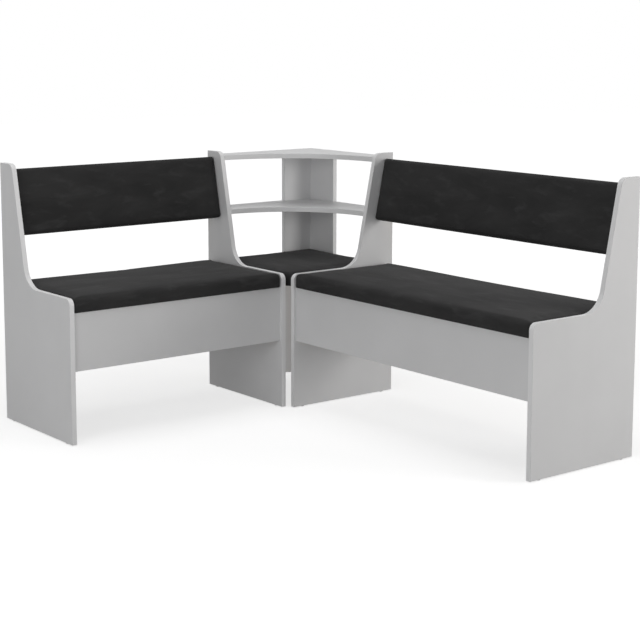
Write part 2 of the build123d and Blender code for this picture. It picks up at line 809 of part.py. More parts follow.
corner_inner = SEAT_BOTTOM + COVER
with BuildPart() as corner_cover:
    add(corner_form(0, SEAT_BOTTOM, SEAT_EDGE, SEAT_NOSE).part)
    inner_edge = SEAT_EDGE - 2 * COVER
    add(corner_form(COVER, corner_inner, inner_edge, SEAT_NOSE - COVER).part, mode=Mode.SUBTRACT)
    window_low = BOARD + CORNER_SEAT_GAP + TUCK
    window_high = corner_side - CORNER_SEAT_GAP - TUCK
    with BuildSketch(corner.offset(SEAT_BOTTOM)) as window:
        with Locations((window_low, -window_low)):
            Rectangle(window_high - window_low, window_high - window_low, align=(Align.MIN, Align.MAX))
        front = window.vertices().sort_by_distance((window_high, -window_high))[0]
        fillet(front, CORNER_SEAT_RADIUS - TUCK)
    extrude(amount=2 * COVER, mode=Mode.SUBTRACT)
keep(corner_cover, "corner_seat_cover")
foam_inset = COVER + FOAM_EASE
with BuildPart() as corner_foam:
    foam_edge = SEAT_EDGE - 2 * foam_inset
    add(corner_form(foam_inset, SEAT_BOTTOM + foam_inset, foam_edge, SEAT_NOSE - foam_inset).part)
    split(bisect_by=Plane.XY.offset(corner_inner + BOARD), keep=Keep.TOP)
keep(corner_foam, "corner_seat_foam")
with BuildPart() as corner_board:
    extrude(corner_plan(foam_inset, corner_inner), amount=BOARD)
keep(corner_board, "corner_seat_board")

# Cleats and fittings, one node for each kind
keep(cleat_group(all_cleats), "chest_floor_cleats")
keep(cleat_group(corner_cleats), "corner_seat_cleats")
keep(dowel_group(all_joints), "dowels")
keep(bolt_group(all_joints), "cam_bolts")
keep(cam_group(all_joints), "cams")
cleat_screw_places = [place for cleat in all_cleats + corner_cleats for place in cleat_screws(cleat)]
keep(screw_group(cleat_screw_places, CLEAT_SCREW), "cleat_screws")
keep(screw_group(frame_screws, HINGE_SCREW), "hinge_rail_screws")
keep(glide_group(all_glides), "floor_glides")
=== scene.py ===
# %% [markdown]
# # Dressing a corner bench
# The bench is made of white coated boards and dark padded seats and backrests. The boards, hinges
# and fittings come in as finished solids. In this lesson they get their finishes, the padded pieces
# are made new as soft forms, and the bench is set on a pale floor under soft light.

import math
from typing import NamedTuple

import bpy
import numpy as np
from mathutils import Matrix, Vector


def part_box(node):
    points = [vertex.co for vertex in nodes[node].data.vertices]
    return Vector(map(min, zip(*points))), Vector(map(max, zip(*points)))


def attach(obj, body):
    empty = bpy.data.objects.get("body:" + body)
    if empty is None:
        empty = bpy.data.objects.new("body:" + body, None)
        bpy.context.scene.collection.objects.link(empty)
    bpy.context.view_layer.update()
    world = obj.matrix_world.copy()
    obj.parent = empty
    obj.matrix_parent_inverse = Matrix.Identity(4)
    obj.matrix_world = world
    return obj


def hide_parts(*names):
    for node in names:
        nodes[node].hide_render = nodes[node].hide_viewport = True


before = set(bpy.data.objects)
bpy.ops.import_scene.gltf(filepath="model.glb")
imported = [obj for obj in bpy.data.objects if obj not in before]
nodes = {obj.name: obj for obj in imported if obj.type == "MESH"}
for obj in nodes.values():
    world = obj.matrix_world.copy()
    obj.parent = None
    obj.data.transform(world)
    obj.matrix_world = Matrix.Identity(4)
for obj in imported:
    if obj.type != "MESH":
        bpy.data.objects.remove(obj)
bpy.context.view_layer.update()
scene = bpy.context.scene
scene.view_settings.view_transform = "Standard"

# %% [markdown]
# ## Small helpers for finishes
# A finish is a Principled shader whose colour, roughness and bump come from a few noise patterns.
# The patterns are laid out in Object coordinates, which are metres here, so a scale of 1000 means
# a grain of about one millimetre. Numbers that are the same all over go straight to the shader.

# %% Materials and nodes
def new_finish(name, **values):
    """A Principled material with plain socket values; gives the material and its node tree."""
    material = bpy.data.materials.new(name)
    material.use_nodes = True
    shader = material.node_tree.nodes["Principled BSDF"]
    for socket, value in values.items():
        shader.inputs[socket.replace("_", " ")].default_value = value
    return material, material.node_tree


def add_node(tree, kind, **values):
    """A node with values for its own settings and for its sockets, by name."""
    node = tree.nodes.new(kind)
    for key, value in values.items():
        if hasattr(node, key):
            setattr(node, key, value)
        else:
            node.inputs[key.replace("_", " ")].default_value = value
    return node


def feed(tree, **sources):
    """Link sources to the Principled shader's sockets."""
    shader = tree.nodes["Principled BSDF"]
    for socket, source in sources.items():
        tree.links.new(source, shader.inputs[socket.replace("_", " ")])


def dress(material, names):
    """Give finished solids one material in place of their own."""
    for name in names:
        slots = nodes[name].data.materials
        slots.clear()
        slots.append(material)
    print(material.name, "on", len(names), "pieces")


# %% Patterns
def place_on(tree, stretch=(1, 1, 1), output="Object"):
    """Texture coordinates, multiplied along each axis by a Mapping node."""
    coordinates = add_node(tree, "ShaderNodeTexCoord")
    mapping = add_node(tree, "ShaderNodeMapping", Scale=stretch)
    tree.links.new(coordinates.outputs[output], mapping.inputs["Vector"])
    return mapping.outputs["Vector"]


def noise(tree, place, scale, detail=2.0, roughness=0.5, distortion=0.0):
    """Noise between 0 and 1 at a place."""
    node = add_node(
        tree, "ShaderNodeTexNoise", Scale=scale, Detail=detail, Roughness=roughness, Distortion=distortion
    )
    tree.links.new(place, node.inputs["Vector"])
    return node.outputs["Fac"]


def bump(tree, height, strength, distance):
    """A bumped normal from a height between 0 and 1; distance is the relief in metres."""
    node = add_node(tree, "ShaderNodeBump", Strength=strength, Distance=distance)
    tree.links.new(height, node.inputs["Height"])
    return node.outputs["Normal"]


# %% Colours and numbers
def ramp(tree, factor, stops):
    """Colours at places from 0 to 1, read by a factor."""
    node = add_node(tree, "ShaderNodeValToRGB")
    while len(node.color_ramp.elements) < len(stops):
        node.color_ramp.elements.new(0.5)
    for element, (place, colour) in zip(node.color_ramp.elements, stops):
        element.position = place
        element.color = (*colour, 1)
    tree.links.new(factor, node.inputs["Fac"])
    return node.outputs["Color"]


def tint(tree, share, source, colour):
    """A source with a plain colour mixed in by a share from 0 to 1."""
    node = add_node(tree, "ShaderNodeMix", data_type="RGBA")
    sockets = {socket.identifier: socket for socket in node.inputs}
    tree.links.new(share, sockets["Factor_Float"])
    tree.links.new(source, sockets["A_Color"])
    sockets["B_Color"].default_value = (*colour, 1)
    return next(socket for socket in node.outputs if socket.identifier == "Result_Color")


def span(tree, factor, low, high, start=0.0, end=1.0):
    """A factor between start and end carried over to the span from low to high."""
    node = add_node(tree, "ShaderNodeMapRange", From_Min=start, From_Max=end, To_Min=low, To_Max=high)
    tree.links.new(factor, node.inputs["Value"])
    return node.outputs["Result"]


def arithmetic(tree, operation, first, second=0.0):
    """One Math node on sockets or plain numbers."""
    node = add_node(tree, "ShaderNodeMath", operation=operation)
    for socket, value in zip(node.inputs, (first, second)):
        if isinstance(value, bpy.types.NodeSocket):
            tree.links.new(value, socket)
        else:
            socket.default_value = value
    return node.outputs["Value"]


# %% [markdown]
# ## White coated board
# The panels, aprons, shelves and uprights are chipboard with a white melamine coating. It is matt,
# with a fine pearl grain that is only felt up close. Every narrow edge has a glued-on edge band,
# smoother than the faces, with a hair-thin glue line where the two meet. The band is painted a touch
# paler than the faces: partly its own tone, partly a painted highlight for the light that rounded
# edges catch. A map for each board could say where its edges are. Here the band is found from the
# direction that the surface faces instead, which needs no map: each board is thin along one axis, so
# its faces look along that axis and its bands look across it. That takes one finish per axis.

# %% White board finish
BOARD_WHITE = (0.80, 0.80, 0.805)
BOARD_SHADE = (0.765, 0.765, 0.77)
PEARL_SHADE = (0.68, 0.68, 0.69)
# The band's colour is partly the band's own paler tone and partly a painted highlight on the edges.
BAND_WHITE_AND_HIGHLIGHT = (0.90, 0.90, 0.905)
GLUE_LINE = (0.50, 0.50, 0.49)
GLUE_SHOWS = 0.5
BAND_BELOW = 0.25
GLUE_BETWEEN = (0.80, 0.985)
BAND_POLISH = 0.08


def white_board(name, thin_axis):
    """Melamine board: clouds and pearl grain on the faces, and a band where the normal leaves thin_axis."""
    material, tree = new_finish(name, Specular_IOR_Level=0.42)
    place = place_on(tree)
    clouds = noise(tree, place, scale=5.0, detail=3.0)
    pearl = noise(tree, place, scale=1400.0, roughness=0.6)
    face = ramp(tree, clouds, ((0.3, BOARD_SHADE), (0.7, BOARD_WHITE)))
    face = tint(tree, span(tree, pearl, low=0.0, high=0.10), face, PEARL_SHADE)
    geometry = add_node(tree, "ShaderNodeNewGeometry")
    parts = add_node(tree, "ShaderNodeSeparateXYZ")
    tree.links.new(geometry.outputs["Normal"], parts.inputs["Vector"])
    facing = arithmetic(tree, "ABSOLUTE", parts.outputs[thin_axis])
    band = arithmetic(tree, "LESS_THAN", facing, BAND_BELOW)
    off_band = arithmetic(tree, "GREATER_THAN", facing, GLUE_BETWEEN[0])
    off_face = arithmetic(tree, "LESS_THAN", facing, GLUE_BETWEEN[1])
    glue = arithmetic(tree, "MULTIPLY", off_band, off_face)
    # Paler band colour: partly the band's own tone, partly a painted highlight where edges catch light.
    colour = tint(tree, band, face, BAND_WHITE_AND_HIGHLIGHT)
    colour = tint(tree, arithmetic(tree, "MULTIPLY", glue, GLUE_SHOWS), colour, GLUE_LINE)
    dull = span(tree, noise(tree, place, scale=60.0, detail=3.0), low=0.40, high=0.50)
    roughness = arithmetic(tree, "SUBTRACT", dull, arithmetic(tree, "MULTIPLY", band, BAND_POLISH))
    relief = bump(tree, pearl, strength=0.12, distance=0.0002)
    feed(tree, Base_Color=colour, Roughness=roughness, Normal=relief)
    return material


boards_thin_along = {
    "X": ["right_end_panel", "right_inner_panel", "left_apron", "left_rear_rail", "left_corner_upright"],
    "Y": ["left_end_panel", "left_inner_panel", "right_apron", "right_rear_rail", "right_corner_upright"],
    "Z": ["top_shelf", "low_shelf", "right_chest_floor", "left_chest_floor"],
}
for axis, names in boards_thin_along.items():
    dress(white_board(f"white_board_{axis.lower()}", axis), names)

# %% [markdown]
# ## Bare chipboard and softwood
# Under the seats and behind the backrests the upholstery is stapled to bare chipboard: pressed wood
# chips of several tans. Voronoi cells look like chips, where plain noise would look like sand. The
# cleats and dowels are planed wood, and noise that is stretched along the ground plane and fine
# upwards gives it lines of grain.

# %% Chipboard and softwood
CHIP_DARK = (0.36, 0.26, 0.16)
CHIP_MIDDLE = (0.55, 0.42, 0.28)
CHIP_PALE = (0.72, 0.58, 0.41)
CHIP_DUST = (0.60, 0.47, 0.32)
GRAIN_DARK = (0.50, 0.33, 0.17)
GRAIN_PALE = (0.72, 0.54, 0.33)


def chipboard():
    """Pressed chips: each Voronoi cell has one tan, dust evens them out, and the cells give the relief."""
    material, tree = new_finish("chipboard", Roughness=0.85, Specular_IOR_Level=0.25)
    place = place_on(tree, stretch=(1.0, 1.0, 2.5))
    dust = noise(tree, place, scale=60.0)
    cells = add_node(tree, "ShaderNodeTexVoronoi", Scale=230.0)
    tree.links.new(place, cells.inputs["Vector"])
    parts = add_node(tree, "ShaderNodeSeparateColor")
    tree.links.new(cells.outputs["Color"], parts.inputs["Color"])
    chips = ramp(tree, parts.outputs["Red"], ((0.0, CHIP_DARK), (0.45, CHIP_MIDDLE), (1.0, CHIP_PALE)))
    colour = tint(tree, span(tree, dust, low=0.0, high=0.5), chips, CHIP_DUST)
    relief = bump(tree, cells.outputs["Distance"], strength=0.3, distance=0.0004)
    feed(tree, Base_Color=colour, Normal=relief)
    return material


def softwood():
    """Planed wood: noise stretched along the ground plane draws the grain."""
    material, tree = new_finish("softwood", Roughness=0.7, Specular_IOR_Level=0.3)
    place = place_on(tree, stretch=(6.0, 6.0, 240.0))
    grain = noise(tree, place, scale=1.0, detail=4.0, roughness=0.6, distortion=0.4)
    colour = ramp(tree, grain, ((0.3, GRAIN_DARK), (0.7, GRAIN_PALE)))
    feed(tree, Base_Color=colour, Normal=bump(tree, grain, strength=0.2, distance=0.0003))
    return material


dress(chipboard(), [name for name in nodes if name.endswith(("seat_board", "backrest_board"))])
dress(softwood(), ["chest_floor_cleats", "corner_seat_cleats", "dowels"])

# %% [markdown]
# ## Zinc and plastic
# Hinges, screws, cams and staples are zinc-plated steel, which is a little cloudy rather than
# mirror-bright, so noise varies both its colour and its roughness. The glides under the panels are
# moulded plastic with a slight grain.

# %% Zinc and plastic
ZINC_DULL = (0.50, 0.51, 0.52)
ZINC_BRIGHT = (0.64, 0.64, 0.63)
PLASTIC_DARK = (0.58, 0.58, 0.58)
PLASTIC_PALE = (0.64, 0.64, 0.64)
ZINC_ENDS = ("leaves", "pins", "screws", "bolts", "cams")


def zinc():
    """Zinc plating: a bright metal with a fine, cloudy dullness."""
    material, tree = new_finish("zinc_plating", Metallic=1.0)
    place = place_on(tree)
    clouds = noise(tree, place, scale=90.0, detail=3.0)
    fine = noise(tree, place, scale=1500.0)
    colour = ramp(tree, clouds, ((0.3, ZINC_DULL), (0.7, ZINC_BRIGHT)))
    roughness = span(tree, clouds, low=0.28, high=0.45)
    relief = bump(tree, fine, strength=0.1, distance=0.0001)
    feed(tree, Base_Color=colour, Roughness=roughness, Normal=relief)
    return material


def glide_plastic():
    """Moulded plastic with a slight grain."""
    material, tree = new_finish("glide_plastic", Specular_IOR_Level=0.45)
    place = place_on(tree)
    fine = noise(tree, place, scale=1200.0)
    colour = ramp(tree, noise(tree, place, scale=80.0), ((0.3, PLASTIC_DARK), (0.7, PLASTIC_PALE)))
    roughness = span(tree, fine, low=0.45, high=0.6)
    relief = bump(tree, fine, strength=0.1, distance=0.0002)
    feed(tree, Base_Color=colour, Roughness=roughness, Normal=relief)
    return material


zinc_finish = zinc()
dress(zinc_finish, [name for name in nodes if name.endswith(ZINC_ENDS)])
dress(glide_plastic(), ["floor_glides"])

# %% [markdown]
# ## Upholstery fabric
# The cover is a matt anthracite microfibre with a short nap. It shows no threads, so a weave would be
# wrong. Brushed one way the nap looks darker, the other way lighter, and faint smudges and paler
# scuffs run along each pad. They are partly the nap's own uneven tone and wear, and partly painted
# sheen and painted shading: the lighter and darker streaks that light draws on a brushed nap and on a
# top that is not quite even. The nap also catches light at a flat angle, which the shader's sheen
# gives. The pattern is laid out on each pad's own map, in metres along and across it, so it runs on
# over the pad's rim.

# %% Fabric finish
# The smudge colours, from NAP_DARK to NAP_LIGHT, are partly the nap's tone and partly painted sheen and
# shading; the scuff colour is partly wear and partly painted sheen.
NAP_DARK = (0.0215, 0.0212, 0.0213)
NAP_LIGHT = (0.0350, 0.0344, 0.0344)
SCUFF_AND_SHEEN = (0.066, 0.066, 0.067)
SCUFF_AND_SHEEN_NONE = (0, 0, 0)
SCUFF_AND_SHEEN_MOST = (0.55, 0.55, 0.55)
FIBRE_PALE = (0.055, 0.055, 0.056)
SHEEN_GREY = (0.55, 0.55, 0.56, 1)
SMUDGE_RELIEF = 0.6


def microfibre():
    """Nap smudges and scuffs, partly painted sheen and shading, from stretched noise; fibres from fine
    noise; sheen at flat angles.
    """
    material, tree = new_finish(
        "microfibre",
        Roughness=0.9,
        Specular_IOR_Level=0.18,
        Sheen_Weight=0.08,
        Sheen_Roughness=0.45,
        Sheen_Tint=SHEEN_GREY,
    )
    along_pad = place_on(tree, stretch=(5.0, 14.0, 1.0), output="UV")
    # Smudges: partly the nap's own tone, partly painted sheen and painted shading.
    smudge_and_sheen = noise(tree, along_pad, scale=1.0, detail=3.0, roughness=0.55, distortion=0.6)
    fibre = noise(tree, place_on(tree, output="UV"), scale=900.0, detail=3.0, roughness=0.65)
    # Pale scuffs: partly wear, partly painted sheen.
    scuff_and_sheen_place = place_on(tree, stretch=(11.0, 30.0, 1.0), output="UV")
    scuff_and_sheen = noise(tree, scuff_and_sheen_place, scale=1.0, detail=4.0, roughness=0.58, distortion=0.4)
    scuff_and_sheen = ramp(tree, scuff_and_sheen, ((0.54, SCUFF_AND_SHEEN_NONE), (0.78, SCUFF_AND_SHEEN_MOST)))
    colour = ramp(tree, smudge_and_sheen, ((0.35, NAP_DARK), (0.68, NAP_LIGHT)))
    colour = tint(tree, scuff_and_sheen, colour, SCUFF_AND_SHEEN)
    colour = tint(tree, span(tree, fibre, low=0.0, high=0.22), colour, FIBRE_PALE)
    height = arithmetic(tree, "ADD", fibre, arithmetic(tree, "MULTIPLY", smudge_and_sheen, SMUDGE_RELIEF))
    feed(tree, Base_Color=colour, Normal=bump(tree, height, strength=0.35, distance=0.0004))
    return material


fabric = microfibre()
print("fabric finish has", len(fabric.node_tree.nodes), "shader nodes")

# %% [markdown]
# ## Padded seats and backrests
# A pad is a board with foam on it and fabric pulled over both, folded in under the board and
# stapled. The top is a little crowned and the rim is soft and round. A bevelled block could be
# sculpted into that, but a formula gives every pad its exact size from the same few lines: a
# rectangle's grid, whose corners are mapped to arcs, is lifted by a height that depends on the
# distance from the outline.

# %% Grid for one side of a pad
RIM_STEPS = 6
CELL = 0.011


def rim_spaced(size, rim):
    """Places from -size/2 to size/2: at equal angles over both rims, then about one CELL apart."""
    turn = 1 - np.cos(np.linspace(0, np.pi / 2, RIM_STEPS + 1))
    low = rim * turn - size / 2
    high = -low[::-1]
    count = int(np.ceil((high[0] - low[-1]) / CELL))
    middle = np.linspace(low[-1], high[0], count + 1)[1:-1]
    return np.concatenate([low, middle, high])


# %% Rounded corners
CORNERS = ((-1, -1), (1, -1), (1, 1), (-1, 1))
TINY = 1e-9


def round_off(x, y, half, radii):
    """Move grid points so that the rectangle's corners become arcs; also gives distance and normal.

    In each corner square, u and v run from 0 to 1 towards the corner, and the map
    (u sqrt(1 - v*v/2), v sqrt(1 - u*u/2)) turns the square into a quarter of a round plate.
    """
    to_side = np.stack([half[0] - np.abs(x), half[1] - np.abs(y)])
    distance = to_side.min(0)
    across_first = to_side[0] <= to_side[1]
    normal = np.stack([np.where(across_first, np.sign(x), 0), np.where(across_first, 0, np.sign(y))])
    for (side_x, side_y), radius in zip(CORNERS, radii):
        u = (side_x * x - half[0]) / radius + 1
        v = (side_y * y - half[1]) / radius + 1
        inside = (u > 0) & (v > 0)
        plate_u = u * np.sqrt(1 - np.clip(v, 0, 1) ** 2 / 2)
        plate_v = v * np.sqrt(1 - np.clip(u, 0, 1) ** 2 / 2)
        reach = np.hypot(plate_u, plate_v)
        safe = np.where(inside, np.maximum(reach, TINY), 1)
        x = np.where(inside, side_x * (half[0] + radius * (plate_u - 1)), x)
        y = np.where(inside, side_y * (half[1] + radius * (plate_v - 1)), y)
        distance = np.where(inside, radius * (1 - reach), distance)
        normal = np.where(inside, np.stack([side_x * plate_u, side_y * plate_v]) / safe, normal)
    return x, y, np.maximum(distance, 0), normal


# %% Top of a pad
WAVE = 0.0006
WAVE_ALONG = 0.041
WAVE_ACROSS = 0.037
WAVE_SLANT = 0.13


class PadForm(NamedTuple):
    """Heights of a pad, and how far it may swell sideways (room) and upwards (lift), in metres."""

    edge: float
    rim: float
    crown: float
    room: float
    lift: float


def foam_waves(x, y):
    """Slow unevenness of foam under cloth: the product of two slanting sine waves, at most WAVE high."""
    return WAVE * np.sin(x / WAVE_ALONG + y / WAVE_SLANT) * np.sin(y / WAVE_ACROSS - x / WAVE_SLANT)


def pad_top(size, radii, form):
    """Top grid: height = edge + (crown + waves) (1 - s^4)(1 - t^2), less a round rim at the outline."""
    x, y = np.meshgrid(rim_spaced(size[0], form.rim), rim_spaced(size[1], form.rim), indexing="ij")
    s = 2 * x / size[0]
    t = 2 * y / size[1]
    x, y, distance, normal = round_off(x, y, size / 2, radii)
    short = form.rim - np.minimum(distance, form.rim)
    drop = form.rim - np.sqrt(np.maximum(form.rim**2 - short**2, 0))
    z = form.edge - drop + (form.crown + foam_waves(x, y)) * (1 - s**4) * (1 - t**2)
    return np.stack([x, y, z], -1), normal


# %% [markdown]
# ## Sides and underside
# The fabric goes down the sides and in under the board. Rings carry the outline there: each ring is
# the outline moved in or out along its own direction, at one height. The last rings turn up inside,
# so the fabric has a thickness at its hem and doesn't end in an open edge.

# %% Sides and underside of a pad
COVER = 0.0012
BOARD = 0.016
SIDE_ROWS = 5
SIDE_END = 0.1
SIDE_BULGE = 0.0003
FOLD = [(-0.0006, 0.0009), (-0.0020, 0.0), (-0.0050, 0.0)]
TUCK = 0.012
LINING_EASE = 0.0002


def ring_profile(top_height):
    """Offsets from the outline and heights of the rings below the top: side, fold, tuck and inner face."""
    fall = np.linspace(1, SIDE_END, SIDE_ROWS + 1)[1:]
    side = [(SIDE_BULGE * math.sin(math.pi * share), top_height * share) for share in fall]
    lip = COVER - LINING_EASE
    inner = [(-TUCK, lip), (-COVER, lip), (-COVER, COVER + BOARD / 2)]
    return np.array(side + FOLD + [(-TUCK, 0.0)]), np.array(inner)


def rings(outline, normal, profile):
    """One ring per profile row: outline + offset * normal, at the row's height."""
    offset = profile[:, 0, None, None] * normal[None]
    flat = outline[None, :, :2] + offset
    height = np.broadcast_to(profile[:, 1, None, None], flat.shape[:2] + (1,))
    return np.concatenate([flat, height], -1)


# %% Faces
def outline_of(rows, columns):
    """Indices of a grid's border, counter-clockwise seen from above."""
    index = np.arange(rows * columns).reshape(rows, columns)
    return np.concatenate([index[:-1, 0], index[-1, :-1], index[:0:-1, -1], index[0, :0:-1]])


def grid_faces(rows, columns):
    """Quads of a grid, counter-clockwise seen from above."""
    index = np.arange(rows * columns).reshape(rows, columns)
    return np.stack([index[:-1, :-1], index[1:, :-1], index[1:, 1:], index[:-1, 1:]], -1).reshape(-1, 4)


def ring_faces(upper, lower):
    """Quads between two rings of indices, facing outwards."""
    return np.stack([upper, lower, np.roll(lower, -1), np.roll(upper, -1)], -1)


# %% [markdown]
# ## From grid to closed form
# The top, the rings and a flat lining just over the board make one closed form. The lining is the
# top's grid laid flat, because one big face with hundreds of corners is very slow to subdivide.
# Points are kept in one order, top, rings, lining, so that slices of the arrays name the pieces.

# %% Closing the form
class PadMesh(NamedTuple):
    """Points with the outline's direction at each, faces, and what of them is the outer shell.

    The shell is the first shell_points points and shell_faces faces, and held marks its fixed points.
    """

    points: np.ndarray
    outward: np.ndarray
    faces: np.ndarray
    shell_points: int
    shell_faces: int
    held: np.ndarray


def closed_pad(size, radii, form):
    """The top's border is carried down and under the board ring by ring, up to the flat lining."""
    top, normal = pad_top(size, radii, form)
    rows, columns = top.shape[:2]
    border = outline_of(rows, columns)
    top = top.reshape(-1, 3)
    normal = normal.reshape(2, -1).T
    outer, inner = ring_profile(form.edge - form.rim)
    profile = np.concatenate([outer, inner])
    ring_points = rings(top[border], normal[border], profile).reshape(-1, 3)
    lining = np.column_stack([top[:, :2] - COVER * normal, np.full(len(top), COVER + BOARD + LINING_EASE)])
    ring_index = len(top) + np.arange(len(ring_points)).reshape(len(profile), -1)
    first_lining = len(top) + len(ring_points)
    loops = np.vstack([border, ring_index, first_lining + border])
    bands = [ring_faces(upper, lower) for upper, lower in zip(loops[:-1], loops[1:])]
    top_faces = grid_faces(rows, columns)
    shell_points = len(top) + len(outer) * len(border)
    return PadMesh(
        points=np.concatenate([top, ring_points, lining]),
        outward=np.concatenate([normal, np.tile(normal[border], (len(profile), 1)), normal]),
        faces=np.concatenate([top_faces, *bands, first_lining + top_faces[:, ::-1]]),
        shell_points=shell_points,
        shell_faces=len(top_faces) + len(outer) * len(border),
        held=np.arange(shell_points) >= ring_index[SIDE_ROWS - 1, 0],
    )


# %% [markdown]
# ## Letting the foam push
# Foam presses the fabric outwards and the fabric holds it in, which is what Blender's Cloth does
# with pressure. The pad's lower rings are held, as the staples hold them, and twenty steps are
# enough. How far a point may move is capped, so that a pad stays clear of the panels beside it.

# %% Cloth step
CLOTH_STEPS = 20
FOAM_PUSH = 0.6


def swell(points, faces, held):
    """Where the points are after the cloth has swollen for CLOTH_STEPS steps with held points fixed."""
    mesh = bpy.data.meshes.new("swelling")
    mesh.from_pydata(points.tolist(), [], faces.tolist())
    cloth_object = bpy.data.objects.new("swelling", mesh)
    scene.collection.objects.link(cloth_object)
    group = cloth_object.vertex_groups.new(name="held")
    group.add(np.flatnonzero(held).tolist(), 1.0, "REPLACE")
    cloth = cloth_object.modifiers.new("Cloth", "CLOTH")
    settings = cloth.settings
    settings.quality = 5
    settings.mass = 0.4
    settings.tension_stiffness = 40
    settings.compression_stiffness = 40
    settings.shear_stiffness = 20
    settings.bending_stiffness = 2
    settings.use_pressure = True
    settings.uniform_pressure_force = FOAM_PUSH
    settings.vertex_group_mass = group.name
    settings.effector_weights.gravity = 0
    cloth.collision_settings.use_collision = False
    cloth.point_cache.frame_start = 1
    cloth.point_cache.frame_end = CLOTH_STEPS
    for step in range(1, CLOTH_STEPS + 1):
        scene.frame_set(step)
    swollen = cloth_object.evaluated_get(bpy.context.evaluated_depsgraph_get()).data
    moved = np.empty(len(points) * 3, np.float32)
    swollen.vertices.foreach_get("co", moved)
    bpy.data.objects.remove(cloth_object)
    bpy.data.meshes.remove(mesh)
    scene.frame_set(1)
    return moved.reshape(-1, 3).astype(float)


def capped(shift, most):
    """Shifts eased off so that none is longer than most: shift * most / (most + |shift|)."""
    return shift * most / (most + np.abs(shift))


# %% [markdown]
# ## Putting a piece in the scene
# A new piece is worked out flat, in its own directions, and then carried to its place: each point is
# along, across and out of the pad, so one matrix product turns them all. Turning the object instead
# would move its patterns too. The piece then rides on the body that it belongs to, and carries the
# material that it is made of.

# %% Placing pieces
class Place(NamedTuple):
    """Where a piece goes: its body, the middle of its lower face, its three directions and its size."""

    body: str
    centre: np.ndarray
    axes: np.ndarray
    size: np.ndarray


def pad_axes(along, outward):
    """Rows of a turn: along the pad, across it and out of it."""
    along = Vector(along)
    outward = Vector(outward)
    return np.array([along, outward.cross(along), outward])


def add_piece(name, place, points, faces, material):
    """A mesh object from points in a place's own directions, riding on its body."""
    mesh = bpy.data.meshes.new(name)
    mesh.from_pydata((points @ place.axes + place.centre).tolist(), [], faces)
    mesh.materials.append(material)
    piece = bpy.data.objects.new(name, mesh)
    scene.collection.objects.link(piece)
    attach(piece, place.body)
    return piece


# %% [markdown]
# ## One pad
# The shell swells, the fabric gets its map, and a Subdivision modifier rounds what the grid left
# angular. An unwrap would cut the fabric into patches, so the map is simply the plan in metres with
# the sides folded out, and the nap runs on over the rim. Each pad stands for the plain cover and
# foam solids.

# %% Making a pad
def lay_map(mesh, pad, edge):
    """Map in metres: along and across, moved outwards by how far a point lies below the rim."""
    corner_vertex = np.empty(len(mesh.loops), np.int32)
    mesh.loops.foreach_get("vertex_index", corner_vertex)
    below = np.maximum(edge - pad.points[:, 2:], 0)
    unfolded = pad.points[:, :2] + below * pad.outward
    layer = mesh.uv_layers.new(name="cloth_map")
    layer.data.foreach_set("uv", unfolded[corner_vertex].astype(np.float32).ravel())


def make_pad(name, place, radii, form):
    """A padded piece: closed form, swollen shell, map and Subdivision."""
    pad = closed_pad(place.size, radii, form)
    shell = pad.points[: pad.shell_points]
    shift = swell(shell, pad.faces[: pad.shell_faces], pad.held) - shell
    print(name, "swelled by", round(1000 * float(shift[:, 2].max()), 1), "mm before the cap")
    shell[:, :2] += capped(shift[:, :2], form.room)
    shell[:, 2] += capped(shift[:, 2], form.lift)
    piece = add_piece(name, place, pad.points, pad.faces.tolist(), fabric)
    piece.data.polygons.foreach_set("use_smooth", np.ones(len(pad.faces), bool))
    lay_map(piece.data, pad, form.edge)
    soften = piece.modifiers.new("Soften", "SUBSURF")
    soften.levels = 1
    soften.render_levels = 1
    part = name.removesuffix("_pad")
    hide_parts(f"{part}_cover", f"{part}_foam")
    print(name, "has", len(pad.faces), "faces before softening")


# %% [markdown]
# ## Staples
# The fabric is folded in under the board and held by staples a few centimetres apart. They show
# from behind, and when a lid is up. A staple's crown is a short bar, half round and nearly flush, so
# it is a small outline drawn along a line. All crowns of one pad are one object, which moves with it.
# A lid has none where it rests on the apron and the rear rail.

# %% One staple
STAPLE_LENGTH = 0.010
STAPLE_WIDTH = 0.0013
STAPLE_PROUD = 0.0003
STAPLE_SUNK = 0.0006
ROUND_STEPS = 7


def staple_crown():
    """One crown along x: a half-round outline, flat on its upper side, drawn from end to end."""
    angle = np.linspace(0, np.pi, ROUND_STEPS)
    across = np.append(STAPLE_WIDTH / 2 * np.cos(angle), [-STAPLE_WIDTH / 2, STAPLE_WIDTH / 2])
    height = np.append(-STAPLE_PROUD * np.sin(angle), [STAPLE_SUNK, STAPLE_SUNK])
    corners = len(across)
    x = np.repeat([-STAPLE_LENGTH / 2, STAPLE_LENGTH / 2], corners)
    ring = np.arange(corners)
    after = np.roll(ring, -1)
    sides = np.stack([ring, ring + corners, after + corners, after], -1).tolist()
    caps = [ring.tolist(), (ring[::-1] + corners).tolist()]
    return np.column_stack([x, np.tile(across, 2), np.tile(height, 2)]), sides + caps


crown, crown_faces = staple_crown()
print("a staple's crown has", len(crown_faces), "faces")

# %% Staples along a pad
STAPLE_INSET = 0.0065
STAPLE_STEP = 0.038
CORNER_ROOM = 0.022


def staple_rows(reach, level):
    """Places on two parallel lines, evenly spaced from -reach to reach, level away on either side."""
    along = np.linspace(-reach, reach, int(2 * reach / STAPLE_STEP) + 1)
    across = np.full(len(along), level)
    none = np.zeros(2 * len(along))
    return np.column_stack([np.tile(along, 2), np.append(-across, across), none])


